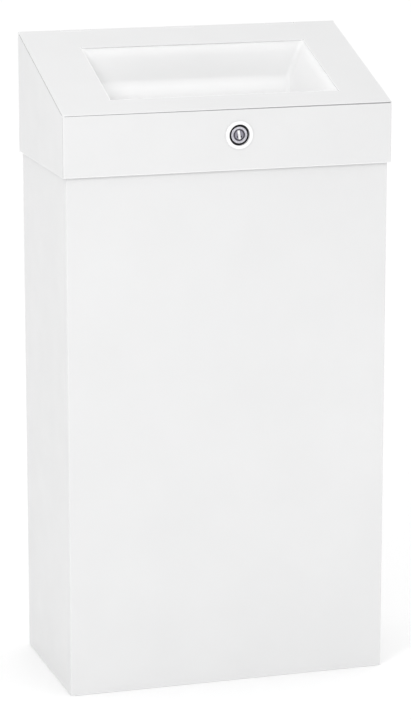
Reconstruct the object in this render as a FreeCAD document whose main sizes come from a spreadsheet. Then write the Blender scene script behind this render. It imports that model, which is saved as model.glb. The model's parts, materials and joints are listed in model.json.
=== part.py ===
import FreeCAD, Part
import math
import os
import Sketcher

# A lockable waste bin folded from sheet steel. The origin is the middle of the base,
# on the floor: +X is to the right of someone facing the bin, +Y is towards the wall
# behind it and +Z is up. Every length is in millimetres and every angle in degrees.

DIMENSIONS = [
    # cover
    ("cover_width", 340, "outside width across the cheeks"),
    ("cover_depth", 180, "front of the fascia to the wall"),
    ("fascia_top", 593, "height of the edge between fascia and sloping top"),
    ("skirt_bottom", 531, "height of the cover's lower edge"),
    ("slope_angle", 19.1, "slope of the top, falling towards the front"),
    ("gauge", 1, "thickness of the steel sheet"),
    ("bend_radius", 1.5, "outside radius of a fold"),
    # body
    ("body_inset", 3, "how far the body stands inside the cover, sides and front"),
    ("rear_standoff", 2, "gap between the back panel and the wall"),
    ("rim_height", 547, "height of the rim under the cover"),
    ("rim_flange", 14, "width of the rim's inward flange"),
    ("back_return", 14, "depth of the back panel's side returns"),
    ("return_drop", 9, "how far the returns stop below the back panel's top"),
    ("base_return", 15, "height of the base pan's edge"),
    ("drain_radius", 4, "radius of a drain hole"),
    ("drain_x", 100, "drain holes, half their spacing across"),
    ("drain_y", 50, "drain holes, half their spacing front to back"),
    # wall fixings
    ("fixing_x", 120, "wall fixings, half their spacing across"),
    ("fixing_low", 120, "height of the lower wall fixings"),
    ("fixing_high", 480, "height of the upper wall fixings"),
    ("fixing_radius", 3.5, "radius of a wall fixing hole"),
    ("pad_radius", 15, "radius of the pressed pad round a wall fixing"),
    # opening and chute
    ("opening_left", -114.5, "left edge of the opening"),
    ("opening_right", 122.5, "right edge of the opening"),
    ("opening_front", 28.5, "front edge of the opening, along the slope"),
    ("opening_rear", 145, "rear edge of the opening, along the slope"),
    ("opening_corner", 1.5, "corner radius of the opening"),
    ("relief_radius", 1.1, "radius of the relief notch in each corner"),
    ("mouth_step", 0.8, "how far the chute's mouth stands back from the opening"),
    ("chute_flange", 8, "width of the chute's flange under the cover"),
    ("chute_depth", 37, "depth of the fold round the chute, square to the slope"),
    ("side_taper", 15, "how far each side of the chute leans in down to the fold"),
    ("end_taper", 11, "how far the front and rear of the chute lean in down to the fold"),
    ("outlet_depth", 50, "depth of the chute's outlet, square to the slope"),
    ("deflector_run", 20, "how far the rear wall leans forward below the fold"),
    ("chute_corner", 6, "corner radius of the chute"),
    ("hem_height", 3, "height of the rolled hem round the chute's outlet"),
    ("hem_width", 1.2, "width of the rolled hem"),
    # hinge
    ("knuckle_radius", 2.5, "outside radius of the hinge knuckles"),
    ("pin_radius", 1.45, "radius of the hinge pin"),
    ("running_gap", 0.05, "radial clearance of a turning fit"),
    ("knuckle_length", 30, "length of a knuckle on the body"),
    ("knuckle_gap", 0.5, "gap between neighbouring knuckles"),
    ("knuckle_pitch", 110, "spacing of the knuckles on the body"),
    ("leaf_width", 320, "length of the hinge leaf"),
    ("leaf_height", 29, "height of the leaf below its knuckles"),
    ("knuckle_swing", 0.6, "gap that the turning knuckles keep all round"),
    ("pin_length", 336, "length of the hinge pin"),
    ("rivet_pitch", 60, "spacing of the hinge rivets"),
    ("rivet_drop", 17, "hinge rivets, distance below the leaf's upper edge"),
    ("rivet_shank", 1.6, "radius of a rivet's shank"),
    ("rivet_head", 2.8, "radius of a rivet's head"),
    ("rivet_dome", 1.2, "height of a rivet's head"),
    # lock
    ("lock_x", 9.5, "lock axis, to the right of the middle"),
    ("lock_z", 566, "height of the lock axis"),
    ("cup_flange", 14, "radius of the trim cup's flange"),
    ("cup_proud", 1.8, "how far the cup's flange stands out of the fascia"),
    ("cup_outer", 11.4, "outside radius of the cup"),
    ("cup_inner", 10.6, "inside radius of the cup"),
    ("cup_rim", 0.6, "round on the cup's flange"),
    ("head_rim", 0.4, "round on the lock's head"),
    ("head_proud", 0.3, "how far the lock's head stands out of the fascia"),
    ("plug_rim", 0.3, "round on the plug's face"),
    ("plug_proud", 0.1, "how far the plug stands out of the fascia"),
    ("cup_depth", 4.5, "depth of the cup behind the fascia's face"),
    ("head_radius", 8.3, "radius of the lock's head"),
    ("barrel_radius", 7.8, "radius of the threaded barrel"),
    ("barrel_flat", 7, "half the distance across the barrel's flats"),
    ("barrel_rear", 21, "rear end of the barrel behind the fascia's face"),
    ("plug_radius", 6.25, "radius of the plug that the key turns"),
    ("plug_square", 7, "side of the square that drives the cam"),
    ("keyway_height", 9, "height of the keyway"),
    ("keyway_width", 2, "width of the keyway"),
    ("keyway_depth", 17, "depth of the keyway"),
    ("keyway_lean", 10, "how far the keyway leans from upright"),
    ("nut_half_flats", 10.5, "half the distance across the nut's flats"),
    ("nut_height", 4, "height of the nut"),
    ("washer_radius", 11, "outside radius of the lock washer"),
    ("washer_height", 0.8, "thickness of a washer"),
    ("cam_reach", 35, "length of the cam from the lock axis"),
    ("cam_half_width", 6, "half the width of the cam"),
    ("cam_height", 2, "thickness of the cam"),
    ("cam_washer_radius", 5.5, "outside radius of the cam's washer"),
    ("screw_head_height", 2.2, "height of the cam screw's head"),
    ("screw_crown", 0.8, "round on the cam screw's head"),
    ("screw_length", 4.5, "length of the cam screw's shank"),
    ("screw_slot_width", 1, "width of the cam screw's slot"),
    ("screw_slot_depth", 0.8, "depth of the cam screw's slot"),
    ("screw_head", 3.5, "radius of the cam screw's head"),
    ("screw_shank", 1.6, "radius of the cam screw's shank"),
    ("wafer_count", 4, "number of wafers in the plug"),
    ("wafer_pitch", 3, "spacing of the wafers"),
    ("wafer_first", 4, "first wafer slot, distance behind the fascia's face"),
    ("wafer_width", 4.6, "width of a wafer"),
    ("wafer_height", 10.4, "height of a wafer"),
    ("wafer_gauge", 0.8, "thickness of a wafer"),
    ("wafer_slack", 0.1, "how much larger a wafer's slot is, each side"),
    ("window_width", 2.6, "width of the window that the key passes through"),
    ("window_height", 6, "height of that window"),
    # keeper, stops and bag frame
    ("keeper_half_width", 30, "half the length of the keeper"),
    ("keeper_rivet_x", 21, "keeper rivets, half their spacing"),
    ("keeper_drop", 16.5, "height of the keeper's lip"),
    ("keeper_gauge", 1.5, "thickness of the keeper"),
    ("stop_x", 130, "lid stops, half their spacing"),
    ("stop_half_width", 12, "half the width of a lid stop"),
    ("stop_gauge", 1.2, "thickness of a lid stop"),
    ("stop_height", 20, "height of a lid stop"),
    ("stop_gap", 0.1, "gap between a shut lid's stop and its buffer"),
    ("buffer_taper", 0.8, "how much narrower a buffer is at its top"),
    ("buffer_radius", 5.5, "radius of a rubber buffer"),
    ("buffer_height", 4, "height of a rubber buffer"),
    ("frame_x", 156, "bag frame, half its width to the wire's middle"),
    ("frame_front", -59, "bag frame, front wire"),
    ("frame_rear", 65, "bag frame, rear wire"),
    ("frame_corner", 16, "bend radius of the bag frame"),
    ("wire_radius", 2.5, "radius of the bag frame's wire"),
    ("clip_front", -30, "front pair of frame clips"),
    ("clip_pitch", 64, "spacing of the frame clips, front to back"),
    ("clip_half_length", 6, "half the length of a frame clip"),
    ("clip_slack", 0.2, "gap between a clip and the wire"),
]

doc = FreeCAD.newDocument("waste_bin")
dim = doc.addObject("Spreadsheet::Sheet", "dim")
for row, (alias, size, meaning) in enumerate(DIMENSIONS, start=1):
    dim.set(f"A{row}", alias)
    dim.set(f"B{row}", str(size))
    dim.setAlias(f"B{row}", alias)
    dim.set(f"C{row}", meaning)
doc.recompute()

# Places that several pieces share, as expressions of the sheet's dimensions.
COVER_FRONT = "(-dim.cover_depth / 2)"
COVER_SIDE = "(dim.cover_width / 2)"
WALL = "(dim.cover_depth / 2)"
BODY_SIDE = "(dim.cover_width / 2 - dim.body_inset)"
BODY_FRONT = "(-dim.cover_depth / 2 + dim.body_inset)"
BODY_BACK = "(dim.cover_depth / 2 - dim.rear_standoff)"
INNER_SIDE = f"({BODY_SIDE} - dim.gauge)"
INNER_FRONT = f"({BODY_FRONT} + dim.gauge)"
INNER_BACK = f"({BODY_BACK} - dim.gauge)"
HINGE_Y = "(dim.cover_depth / 2 - dim.knuckle_radius)"
HINGE_Z = (
    "(dim.fascia_top + (dim.cover_depth - dim.knuckle_radius) * tan(dim.slope_angle)"
    " - dim.knuckle_radius / cos(dim.slope_angle))"
)
LEAF_TOP = f"({HINGE_Z} - dim.knuckle_radius - dim.knuckle_swing)"
BACK_TOP = f"({LEAF_TOP} - 0.3)"
RIVET_ROW = f"({LEAF_TOP} - dim.rivet_drop)"
KNUCKLE_BORE = "(dim.pin_radius + dim.running_gap)"
RIVET_LINE = f"({INNER_FRONT} + dim.rim_flange / 2)"
CAM_FRONT = f"({COVER_FRONT} + dim.barrel_rear + 0.2)"
CAM_REAR = f"({CAM_FRONT} + dim.cam_height)"

sub_parts = []


def value(expression):
    """Number that an expression of the sheet's dimensions works out to."""
    number = dim.evalExpression(expression)
    return float(getattr(number, "Value", number))


def new_body(name):
    body = doc.addObject("PartDesign::Body", name)
    body.Label = name
    sub_parts.append(body)
    return body


def box(body, kind, x, y, z):
    """Add or subtract a block between two expressions on each axis."""
    feature = body.newObject(f"PartDesign::{kind}Box", f"{body.Name}_block")
    for side, base, (low, high) in zip(("Length", "Width", "Height"), "xyz", (x, y, z)):
        feature.setExpression(side, f"({high}) - ({low})")
        feature.setExpression(f".Placement.Base.{base}", low)
    doc.recompute()
    return feature


ROD_TURNS = {
    "x": FreeCAD.Rotation(FreeCAD.Vector(0, 1, 0), 90),
    "y": FreeCAD.Rotation(FreeCAD.Vector(1, 0, 0), -90),
    "z": FreeCAD.Rotation(),
}


def rod(body, kind, axis, start, length, radius, end_radius=None):
    """Add or subtract a cylinder, or a cone, that runs from start along axis."""
    shape = "Cylinder" if end_radius is None else "Cone"
    feature = body.newObject(f"PartDesign::{kind}{shape}", f"{body.Name}_rod")
    feature.Placement = FreeCAD.Placement(FreeCAD.Vector(), ROD_TURNS[axis])
    for base, expression in zip("xyz", start):
        feature.setExpression(f".Placement.Base.{base}", expression)
    feature.setExpression("Height", length)
    if end_radius is None:
        feature.setExpression("Radius", radius)
    else:
        feature.setExpression("Radius1", radius)
        feature.setExpression("Radius2", end_radius)
    doc.recompute()
    return feature


def origin_feature(body, role):
    return next(item for item in body.Origin.OriginFeatures if item.Role == role)


def new_sketch(body, role, offset="0"):
    sketch = body.newObject("Sketcher::SketchObject", f"{body.Name}_sketch")
    sketch.AttachmentSupport = [(origin_feature(body, role), "")]
    sketch.MapMode = "FlatFace"
    sketch.setExpression(".AttachmentOffset.Base.z", offset)
    return sketch


def slope_sketch(body, below="0"):
    """Sketch in the plane of the sloping top, or a stated depth below it.

    Its X is the bin's X and its Y runs up the slope from the fascia's top edge.
    """
    sketch = new_sketch(body, "XY_Plane")
    sketch.AttachmentOffset = FreeCAD.Placement(
        FreeCAD.Vector(), FreeCAD.Rotation(FreeCAD.Vector(1, 0, 0), 1)
    )
    sketch.setExpression(".AttachmentOffset.Rotation.Angle", "dim.slope_angle")
    sketch.setExpression(
        ".AttachmentOffset.Base.y", f"{COVER_FRONT} + ({below}) * sin(dim.slope_angle)"
    )
    sketch.setExpression(
        ".AttachmentOffset.Base.z", f"dim.fascia_top - ({below}) * cos(dim.slope_angle)"
    )
    return sketch


def bind(sketch, name, constraint, expression):
    index = sketch.addConstraint(constraint)
    sketch.renameConstraint(index, name)
    sketch.setExpression(f"Constraints.{name}", expression)


def polygon(sketch, corners):
    """Closed outline of straight lines, each corner bound to two expressions."""
    points = [FreeCAD.Vector(value(across), value(up), 0) for across, up in corners]
    count = len(points)
    for index, point in enumerate(points):
        sketch.addGeometry(Part.LineSegment(point, points[(index + 1) % count]))
    for index in range(count):
        following = (index + 1) % count
        sketch.addConstraint(Sketcher.Constraint("Coincident", index, 2, following, 1))
    for index, (across, up) in enumerate(corners):
        point = points[index]
        across_rule = Sketcher.Constraint("DistanceX", -1, 1, index, 1, point.x)
        up_rule = Sketcher.Constraint("DistanceY", -1, 1, index, 1, point.y)
        bind(sketch, f"across{index}", across_rule, across)
        bind(sketch, f"up{index}", up_rule, up)
    return sketch


def rounded_rectangle(sketch, left, right, low, high, radius):
    """Closed outline of four lines and four tangent arcs."""
    x0, x1, y0, y1, r = (value(text) for text in (left, right, low, high, radius))
    ends = [
        ((x0 + r, y0), (x1 - r, y0)),
        ((x1, y0 + r), (x1, y1 - r)),
        ((x1 - r, y1), (x0 + r, y1)),
        ((x0, y1 - r), (x0, y0 + r)),
    ]
    for start, end in ends:
        sketch.addGeometry(Part.LineSegment(FreeCAD.Vector(*start), FreeCAD.Vector(*end)))
    centres = [(x1 - r, y0 + r), (x1 - r, y1 - r), (x0 + r, y1 - r), (x0 + r, y0 + r)]
    for quarter, centre in enumerate(centres):
        circle = Part.Circle(FreeCAD.Vector(*centre), FreeCAD.Vector(0, 0, 1), r)
        turn = math.radians(90 * quarter - 90)
        sketch.addGeometry(Part.ArcOfCircle(circle, turn, turn + math.pi / 2))
    for index in range(4):
        sketch.addConstraint(Sketcher.Constraint("Tangent", index, 2, 4 + index, 1))
        sketch.addConstraint(Sketcher.Constraint("Tangent", 4 + index, 2, (index + 1) % 4, 1))
        sketch.addConstraint(Sketcher.Constraint(("Horizontal", "Vertical")[index % 2], index))
    for index in (5, 6, 7):
        sketch.addConstraint(Sketcher.Constraint("Equal", 4, index))
    bind(sketch, "radius", Sketcher.Constraint("Radius", 4, r), radius)
    bind(sketch, "left", Sketcher.Constraint("DistanceX", -1, 1, 3, 1, x0), left)
    bind(sketch, "right", Sketcher.Constraint("DistanceX", -1, 1, 1, 1, x1), right)
    bind(sketch, "low", Sketcher.Constraint("DistanceY", -1, 1, 0, 1, y0), low)
    bind(sketch, "high", Sketcher.Constraint("DistanceY", -1, 1, 2, 1, y1), high)
    return sketch


def extrude(body, kind, sketch, length, midplane=False, reverse=False):
    """Pad or Pocket of a sketch."""
    feature = body.newObject(f"PartDesign::{kind}", f"{body.Name}_{kind.lower()}")
    feature.Profile = sketch
    feature.setExpression("Length", length)
    feature.Midplane = midplane
    feature.Reversed = reverse
    doc.recompute()
    return feature


def fillet(body, radius, chosen):
    """Round the edges of the body's tip that the test picks."""
    tip = body.Tip
    names = [
        f"Edge{index}"
        for index, edge in enumerate(tip.Shape.Edges, start=1)
        if chosen(edge)
    ]
    feature = body.newObject("PartDesign::Fillet", f"{body.Name}_fillet")
    feature.Base = (tip, names)
    feature.setExpression("Radius", radius)
    doc.recompute()
    return feature


def near(number, expression):
    return abs(number - value(expression)) < 0.01


def repeat(body, features, axis, length, count):
    """Linear pattern of features along one of the body's axes."""
    pattern = body.newObject("PartDesign::LinearPattern", f"{body.Name}_row")
    pattern.Originals = features
    pattern.Direction = (origin_feature(body, f"{axis}_Axis"), [""])
    pattern.setExpression("Length", length)
    pattern.Occurrences = count
    body.Tip = pattern
    doc.recompute()
    return pattern


def keeper_rivet_places():
    for side in (-1, 1):
        yield f"dim.lock_x + {side} * dim.keeper_rivet_x"


# ---------------------------------------------------------------- body

def make_body_shell():
    """Front and both sides folded from one sheet, with an inward rim flange."""
    body = new_body("body_shell")
    box(
        body, "Additive",
        (f"-{BODY_SIDE}", BODY_SIDE), (BODY_FRONT, BODY_BACK), ("0", "dim.rim_height"),
    )

    def folded(edge):
        box_of_edge = edge.BoundBox
        upright = box_of_edge.ZLength > 1 and near(box_of_edge.YMax, BODY_FRONT)
        rim = near(box_of_edge.ZMin, "dim.rim_height")
        rear = near(box_of_edge.YMin, BODY_BACK)
        return upright or (rim and not rear)

    fillet(body, "dim.bend_radius", folded)
    box(
        body, "Subtractive",
        (f"-{INNER_SIDE}", INNER_SIDE), (INNER_FRONT, f"{WALL} + 1"),
        ("-1", "dim.rim_height - dim.gauge"),
    )
    mouth_side = f"({INNER_SIDE} - dim.rim_flange)"
    box(
        body, "Subtractive",
        (f"-{mouth_side}", mouth_side), (f"{INNER_FRONT} + dim.rim_flange", f"{WALL} + 1"),
        ("dim.rim_height - 5", "dim.rim_height + 1"),
    )
    box(
        body, "Subtractive",
        (f"-{INNER_SIDE}", INNER_SIDE),
        (f"{INNER_BACK} - dim.back_return - 1", f"{WALL} + 1"),
        ("dim.rim_height - 5", "dim.rim_height + 1"),
    )
    for across in keeper_rivet_places():
        rod(
            body, "Subtractive", "z", (across, RIVET_LINE, "dim.rim_height - 5"),
            "10", "dim.rivet_shank + dim.running_gap",
        )


def fixing_places():
    for side in (-1, 1):
        for height in ("dim.fixing_low", "dim.fixing_high"):
            yield f"{side} * dim.fixing_x", height


def rivet_places():
    for step in range(6):
        yield f"{step - 2.5} * dim.rivet_pitch"


def make_back_panel():
    """Back sheet with side returns, pressed pads for the wall and the hinge rivets' holes."""
    body = new_body("back_panel")
    box(
        body, "Additive",
        (f"-{INNER_SIDE}", INNER_SIDE), (INNER_BACK, BODY_BACK), ("0", BACK_TOP),
    )
    for low, high in (
        (f"-{INNER_SIDE}", f"-{INNER_SIDE} + dim.gauge"),
        (f"{INNER_SIDE} - dim.gauge", INNER_SIDE),
    ):
        box(
            body, "Additive",
            (low, high), (f"{INNER_BACK} - dim.back_return", INNER_BACK),
            ("dim.base_return + 2", f"{BACK_TOP} - dim.return_drop"),
        )
    for across, height in fixing_places():
        rod(
            body, "Additive", "y", (across, INNER_BACK, height),
            f"{WALL} - {INNER_BACK}", "dim.pad_radius",
        )
        rod(
            body, "Subtractive", "y", (across, f"{INNER_BACK} - 1", height),
            "dim.rear_standoff + 1", "dim.pad_radius - dim.gauge",
        )
        rod(body, "Subtractive", "y", (across, f"{INNER_BACK} - 1", height), "6", "dim.fixing_radius")
    for across in rivet_places():
        rod(
            body, "Subtractive", "y", (across, f"{INNER_BACK} - 1", RIVET_ROW),
            "4", "dim.rivet_shank + dim.running_gap",
        )


def make_base_panel():
    """Shallow pan that closes the bottom, with four drain holes."""
    body = new_body("base_panel")
    box(
        body, "Additive",
        (f"-{INNER_SIDE}", INNER_SIDE), (INNER_FRONT, INNER_BACK), ("0", "dim.base_return"),
    )
    box(
        body, "Subtractive",
        (f"-{INNER_SIDE} + dim.gauge", f"{INNER_SIDE} - dim.gauge"),
        (f"{INNER_FRONT} + dim.gauge", f"{INNER_BACK} - dim.gauge"),
        ("dim.gauge", "dim.base_return + 1"),
    )
    for across in (-1, 1):
        for along in (-1, 1):
            rod(
                body, "Subtractive", "z",
                (f"{across} * dim.drain_x", f"{along} * dim.drain_y", "-1"), "4", "dim.drain_radius",
            )


# ---------------------------------------------------------------- cover

def knuckle_places():
    for step in (-1, 0, 1):
        yield f"{step} * dim.knuckle_pitch"


def make_cover():
    """Sloping top, fascia and cheeks in one sheet, its rear edge rolled into knuckles."""
    body = new_body("lid_cover")
    tangent_y = f"{HINGE_Y} - dim.knuckle_radius * sin(dim.slope_angle)"
    tangent_z = f"{HINGE_Z} + dim.knuckle_radius * cos(dim.slope_angle)"
    outline = [
        (COVER_FRONT, "dim.skirt_bottom"),
        (COVER_FRONT, "dim.fascia_top"),
        (tangent_y, tangent_z),
        (HINGE_Y, HINGE_Z),
        (WALL, HINGE_Z),
        (WALL, "dim.skirt_bottom"),
    ]
    profile = polygon(new_sketch(body, "YZ_Plane"), outline)
    extrude(body, "Pad", profile, "dim.cover_width", midplane=True)

    def folded(edge):
        size = edge.BoundBox
        top_front = near(size.ZMin, "dim.fascia_top") and near(size.YMax, COVER_FRONT)
        corner = size.ZLength > 1 and near(size.YMax, COVER_FRONT)
        slope = size.YLength > 100 and size.ZLength > 10
        return top_front or corner or slope

    fillet(body, "dim.bend_radius", folded)
    inner_front = f"({COVER_FRONT} + dim.gauge)"
    under_slope = "dim.gauge * tan(dim.slope_angle) - dim.gauge / cos(dim.slope_angle)"
    hollow = [
        (inner_front, "dim.skirt_bottom - 1"),
        (inner_front, f"dim.fascia_top + {under_slope}"),
        (
            f"{HINGE_Y} - (dim.knuckle_radius - dim.gauge) * sin(dim.slope_angle)",
            f"{HINGE_Z} + (dim.knuckle_radius - dim.gauge) * cos(dim.slope_angle)",
        ),
        (HINGE_Y, HINGE_Z),
        (f"{WALL} + 1", HINGE_Z),
        (f"{WALL} + 1", "dim.skirt_bottom - 1"),
    ]
    extrude(
        body, "Pocket", polygon(new_sketch(body, "YZ_Plane"), hollow),
        "dim.cover_width - 2 * dim.gauge", midplane=True,
    )
    rod(
        body, "Additive", "x", (f"-{COVER_SIDE}", HINGE_Y, HINGE_Z),
        "dim.cover_width", "dim.knuckle_radius",
    )
    rod(
        body, "Subtractive", "x", (f"-{COVER_SIDE} + dim.gauge", HINGE_Y, HINGE_Z),
        "dim.cover_width - 2 * dim.gauge", KNUCKLE_BORE,
    )
    for place in knuckle_places():
        half = "(dim.knuckle_length / 2 + dim.knuckle_gap)"
        box(
            body, "Subtractive",
            (f"{place} - {half}", f"{place} + {half}"),
            (f"{HINGE_Y} - dim.knuckle_radius - dim.knuckle_swing", f"{WALL} + 1"),
            (f"{HINGE_Z} - 4", f"{HINGE_Z} + 5"),
        )
    opening = rounded_rectangle(
        slope_sketch(body), "dim.opening_left", "dim.opening_right",
        "dim.opening_front", "dim.opening_rear", "dim.opening_corner",
    )
    extrude(body, "Pocket", opening, "10", midplane=True)
    for across in ("dim.opening_left", "dim.opening_right"):
        for along in ("dim.opening_front", "dim.opening_rear"):
            notch = slope_sketch(body, "-2")
            centre = FreeCAD.Vector(value(across), value(along), 0)
            radius = value("dim.relief_radius")
            notch.addGeometry(Part.Circle(centre, FreeCAD.Vector(0, 0, 1), radius))
            bind(notch, "radius", Sketcher.Constraint("Radius", 0, radius), "dim.relief_radius")
            bind(notch, "across", Sketcher.Constraint("DistanceX", -1, 1, 0, 3, centre.x), across)
            bind(notch, "along", Sketcher.Constraint("DistanceY", -1, 1, 0, 3, centre.y), along)
            extrude(body, "Pocket", notch, "4")
    rod(
        body, "Subtractive", "y", ("dim.lock_x", f"{COVER_FRONT} - 1", "dim.lock_z"),
        "5", "dim.cup_outer + 0.1",
    )


def make_chute():
    """Funnel that hangs from the opening; its rear wall folds forward above the outlet."""
    body = new_body("chute")

    def outline(below, grow, corner, side_lean="0", front_lean="0", rear_lean="0"):
        return rounded_rectangle(
            slope_sketch(body, below),
            f"dim.opening_left - ({grow}) + ({side_lean})",
            f"dim.opening_right + ({grow}) - ({side_lean})",
            f"dim.opening_front - ({grow}) + ({front_lean})",
            f"dim.opening_rear + ({grow}) - ({rear_lean})",
            corner,
        )

    further = "dim.outlet_depth / dim.chute_depth"
    at_fold = ("dim.side_taper", "dim.end_taper", "dim.end_taper")
    at_outlet = (
        f"dim.side_taper * {further}",
        f"dim.end_taper * {further}",
        "dim.end_taper + dim.deflector_run",
    )

    def loft(kind, name, grow, corner, top, top_lean, foot, foot_lean):
        feature = body.newObject(f"PartDesign::{kind}Loft", name)
        feature.Profile = outline(top, grow, corner, *top_lean)
        feature.Sections = [outline(foot, grow, corner, *foot_lean)]
        feature.Ruled = True
        doc.recompute()

    outside = "dim.mouth_step + dim.gauge"
    outside_corner = "dim.chute_corner + dim.gauge"
    flange = outline("dim.gauge", "dim.mouth_step + dim.chute_flange", "dim.chute_corner")
    extrude(body, "Pad", flange, "dim.gauge", reverse=True)
    stages = (
        ("upper", "dim.gauge", (), "dim.chute_depth", at_fold),
        ("lower", "dim.chute_depth", at_fold, "dim.outlet_depth", at_outlet),
    )
    for name, *ends in stages:
        loft("Additive", f"{name}_outside", outside, outside_corner, *ends)
    hem = outline("dim.outlet_depth", f"{outside} + dim.hem_width", outside_corner, *at_outlet)
    extrude(body, "Pad", hem, "dim.hem_height")
    for name, *ends in stages:
        loft("Subtractive", f"{name}_inside", "dim.mouth_step", "dim.chute_corner", *ends)


# ---------------------------------------------------------------- hinge

def make_hinge_leaf():
    """Leaf on the back panel with three knuckles."""
    body = new_body("hinge_leaf")
    front = f"{INNER_BACK} - dim.gauge"
    box(
        body, "Additive",
        ("-dim.leaf_width / 2", "dim.leaf_width / 2"), (front, INNER_BACK),
        (f"{LEAF_TOP} - dim.leaf_height", LEAF_TOP),
    )
    for place in knuckle_places():
        low = f"{place} - dim.knuckle_length / 2"
        box(
            body, "Additive", (low, f"{place} + dim.knuckle_length / 2"), (front, INNER_BACK),
            (f"{LEAF_TOP} - 1", f"{HINGE_Z} - 1"),
        )
        rod(body, "Additive", "x", (low, HINGE_Y, HINGE_Z), "dim.knuckle_length", "dim.knuckle_radius")
    rod(
        body, "Subtractive", "x", ("-dim.leaf_width / 2", HINGE_Y, HINGE_Z),
        "dim.leaf_width", KNUCKLE_BORE,
    )
    for across in rivet_places():
        rod(
            body, "Subtractive", "y", (across, f"{front} - 1", RIVET_ROW),
            "4", "dim.rivet_shank + dim.running_gap",
        )


def make_hinge_pin():
    body = new_body("hinge_pin")
    start = ("-dim.pin_length / 2", HINGE_Y, HINGE_Z)
    rod(body, "Additive", "x", start, "dim.pin_length", "dim.pin_radius")


def rivet(body, axis, start, grip):
    """Rivet whose domed head sits at start and whose shank runs along axis."""
    index = "xyz".index(axis)

    def moved(distance):
        place = list(start)
        place[index] = f"{start[index]} + ({distance})"
        return tuple(place)

    dome = "dim.rivet_dome"
    rod(body, "Additive", axis, moved(f"-{dome}"), dome, "dim.rivet_shank", "dim.rivet_head")
    rod(body, "Additive", axis, moved("-0.1"), f"({grip}) + 0.2", "dim.rivet_shank")
    rod(body, "Additive", axis, moved(grip), dome, "dim.rivet_head", "dim.rivet_shank")


def make_hinge_rivets():
    body = new_body("hinge_rivets")
    front = f"{INNER_BACK} - dim.gauge"
    for across in rivet_places():
        rivet(body, "y", (across, front, RIVET_ROW), "2 * dim.gauge")


# ---------------------------------------------------------------- lock

def lock_rod(body, kind, start, length, radius):
    """Cylinder on the lock's axis; start is measured back from the fascia's face."""
    place = ("dim.lock_x", f"{COVER_FRONT} + ({start})", "dim.lock_z")
    return rod(body, kind, "y", place, length, radius)


def make_lock_cup():
    """Flanged trim cup that holds the lock a little below the fascia's face."""
    body = new_body("lock_cup")
    lock_rod(body, "Additive", "-dim.cup_proud", "dim.cup_proud", "dim.cup_flange")

    def rim(edge):
        return near(edge.BoundBox.YMax, f"{COVER_FRONT} - dim.cup_proud")

    fillet(body, "dim.cup_rim", rim)
    lock_rod(body, "Additive", "-0.5", "dim.cup_depth + 0.5 + dim.gauge", "dim.cup_outer")
    bore = "dim.cup_depth + dim.cup_proud + 1"
    lock_rod(body, "Subtractive", "-dim.cup_proud - 1", bore, "dim.cup_inner")
    lock_rod(body, "Subtractive", "0", "20", "dim.barrel_radius + 0.1")


def make_lock_housing():
    """Head and flatted barrel that the plug turns in."""
    body = new_body("lock_housing")
    lock_rod(body, "Additive", "-dim.head_proud", "dim.cup_depth + dim.head_proud", "dim.head_radius")

    def rim(edge):
        return near(edge.BoundBox.YMax, f"{COVER_FRONT} - dim.head_proud")

    fillet(body, "dim.head_rim", rim)
    length = "dim.barrel_rear - dim.cup_depth + 1"
    lock_rod(body, "Additive", "dim.cup_depth - 1", length, "dim.barrel_radius")
    start = f"{COVER_FRONT} + dim.cup_depth + dim.gauge + dim.washer_height + dim.nut_height + 1"
    above = ("dim.barrel_flat", "dim.barrel_radius + 1")
    below = ("-dim.barrel_radius - 1", "-dim.barrel_flat")
    for low, high in (above, below):
        box(
            body, "Subtractive",
            ("dim.lock_x - dim.barrel_radius", "dim.lock_x + dim.barrel_radius"),
            (start, f"{COVER_FRONT} + dim.barrel_rear + 1"),
            (f"dim.lock_z + {low}", f"dim.lock_z + {high}"),
        )
    lock_rod(body, "Subtractive", "-1", "dim.barrel_rear + 2", "dim.plug_radius + dim.running_gap")


def make_lock_washer():
    body = new_body("lock_washer")
    start = "dim.cup_depth + dim.gauge"
    lock_rod(body, "Additive", start, "dim.washer_height", "dim.washer_radius")
    lock_rod(body, "Subtractive", f"{start} - 1", "5", "dim.barrel_radius + 0.1")


def make_lock_nut():
    body = new_body("lock_nut")
    start = f"{COVER_FRONT} + dim.cup_depth + dim.gauge + dim.washer_height"
    corner = "dim.nut_half_flats / cos(30)"
    outline = [
        (f"dim.lock_x + {corner} * cos({60 * step})", f"dim.lock_z + {corner} * sin({60 * step})")
        for step in range(6)
    ]
    sketch = new_sketch(body, "XZ_Plane", f"-({start})")
    extrude(body, "Pad", polygon(sketch, outline), "dim.nut_height", reverse=True)
    lock_rod(body, "Subtractive", "0", "30", "dim.barrel_radius + dim.running_gap")


def wafer_place(step):
    return f"{COVER_FRONT} + dim.wafer_first + {step} * dim.wafer_pitch"


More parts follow.
